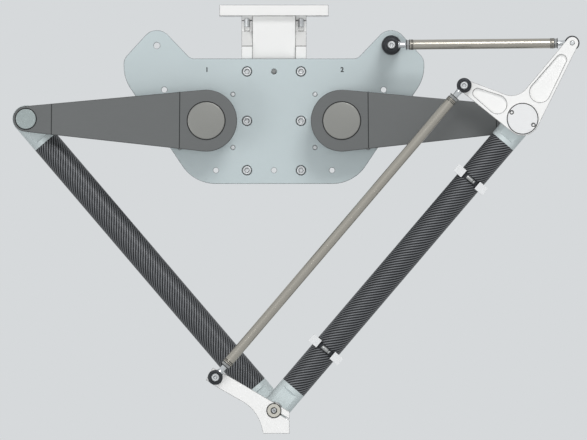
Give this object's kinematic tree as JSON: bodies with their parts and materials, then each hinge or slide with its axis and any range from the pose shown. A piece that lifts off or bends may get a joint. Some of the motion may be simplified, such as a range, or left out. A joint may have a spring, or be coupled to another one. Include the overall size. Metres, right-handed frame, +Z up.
{
  "type": "planar delta robot",
  "caption": "Planar delta robot: plate and drives under a top flange, arms and carbon forearms, rods that keep the tool bracket level.",
  "frame": {"origin": "centre of the top flange's top face, where the robot hangs from its gantry", "axes": "+Z up, the robot faces -Y, +X to the right seen from the front"},
  "size_m": [1.0374, 0.545, 0.7847],
  "materials": {
    "white_paint": "satin powder coat",
    "anodised": "bead blasted and anodised",
    "arm_metal": "hard anodised grey",
    "cap_metal": "turned, satin",
    "cover_metal": "turned, satin",
    "steel": "machined",
    "rod_steel": "polished",
    "screw_steel": "zinc plated",
    "dark_steel": "blackened",
    "bright_ball": "hard chromed",
    "gearbox_finish": "cast and blasted",
    "motor_finish": "black enamel",
    "carbon": "wound carbon fibre in clear resin",
    "guide_plastic": "moulded"
  },
  "bodies": {
    "frame": {"top_flange": "white_paint", "left_side_plate": "white_paint", "right_side_plate": "white_paint", "front_web": "white_paint", "rear_web": "white_paint", "base_plate": "anodised", "base_plate_screws": "screw_steel", "flange_screws": "screw_steel", "web_screws": "screw_steel", "left_gearbox": "gearbox_finish", "right_gearbox": "gearbox_finish", "left_servo_motor": "motor_finish", "right_servo_motor": "motor_finish", "motor_connectors": "motor_finish", "gearbox_screws": "screw_steel", "ear_standoff": "dark_steel", "ear_ball": "bright_ball", "ear_screw": "screw_steel"},
    "left_upper_arm": {"left_output_flange": "steel", "left_upper_arm": "arm_metal", "left_arm_screws": "screw_steel", "left_shoulder_cap": "cap_metal", "left_elbow_pin": "cap_metal", "left_elbow_retainer": "cap_metal"},
    "left_forearm": {"left_forearm_tube": "carbon", "left_elbow_block": "anodised", "left_elbow_bearings": "steel", "left_wrist_block": "anodised", "left_wrist_bearings": "steel", "left_wrist_stub": "steel"},
    "right_upper_arm": {"right_output_flange": "steel", "right_upper_arm": "arm_metal", "right_arm_screws": "screw_steel", "right_shoulder_cap": "cap_metal", "right_elbow_pin": "cap_metal"},
    "right_forearm": {"right_forearm_tube": "carbon", "right_elbow_block": "anodised", "right_elbow_bearings": "steel", "right_wrist_block": "anodised", "right_wrist_bearings": "steel", "hose_straps": "rod_steel", "hose_guides": "guide_plastic"},
    "bell_crank": {"bell_crank": "white_paint", "bell_crank_bearing": "steel", "elbow_cover_disc": "cover_metal", "upper_tip_screw": "screw_steel", "lower_tip_screw": "screw_steel", "crank_balls": "bright_ball"},
    "upper_rod": {"upper_rod_ends": "dark_steel", "upper_rod_locknuts": "screw_steel", "upper_rod": "rod_steel"},
    "lower_rod": {"lower_rod_ends": "dark_steel", "lower_rod_locknuts": "screw_steel", "lower_rod": "rod_steel"},
    "tool_bracket": {"tool_bracket": "white_paint", "wrist_pin": "steel", "wrist_sleeve": "steel", "wrist_washer": "cap_metal", "lever_ball": "bright_ball", "lever_screw": "screw_steel"}
  },
  "joints": [
    {"name": "left_shoulder", "type": "hinge", "parent": "frame", "child": "left_upper_arm", "pos_m": [-0.124, -0.11, -0.213], "axis": [0, -1, 0], "range_deg": [-14.45, 60.55]},
    {"name": "left_elbow", "type": "hinge", "parent": "left_upper_arm", "child": "left_forearm", "pos_m": [-0.45398, -0.141, -0.20983], "axis": [0, 1, 0], "range_deg": [-14.3, 75.4]},
    {"name": "right_shoulder", "type": "hinge", "parent": "frame", "child": "right_upper_arm", "pos_m": [0.124, -0.11, -0.213], "axis": [0, 1, 0], "range_deg": [-14.45, 60.55]},
    {"name": "right_elbow", "type": "hinge", "parent": "bell_crank", "child": "right_forearm", "pos_m": [0.45398, -0.24, -0.20983], "axis": [0, -1, 0], "range_deg": [-22.35, 31.45]},
    {"name": "bell_crank_pivot", "type": "hinge", "parent": "right_upper_arm", "child": "bell_crank", "pos_m": [0.45398, -0.276, -0.20983], "axis": [0, -1, 0], "range_deg": [-14.45, 60.55]},
    {"name": "upper_rod_pivot", "type": "hinge", "parent": "frame", "child": "upper_rod", "pos_m": [0.2148, -0.257, -0.0748], "axis": [0, 1, 0], "range_deg": [-14.45, 60.55]},
    {"name": "lower_rod_pivot", "type": "hinge", "parent": "bell_crank", "child": "lower_rod", "pos_m": [0.34718, -0.304, -0.14913], "axis": [0, -1, 0], "range_deg": [-22.35, 31.45]},
    {"name": "wrist_pivot", "type": "hinge", "parent": "right_forearm", "child": "tool_bracket", "pos_m": [0, -0.24, -0.74265], "axis": [0, 1, 0], "range_deg": [-22.35, 31.45]}
  ],
  "couplings": [
    {"joint": "bell_crank_pivot", "follows": "right_shoulder", "ratio": 1},
    {"joint": "upper_rod_pivot", "follows": "right_shoulder", "ratio": 1},
    {"joint": "lower_rod_pivot", "follows": "right_elbow", "ratio": 1},
    {"joint": "wrist_pivot", "follows": "right_elbow", "ratio": 1}
  ]
}
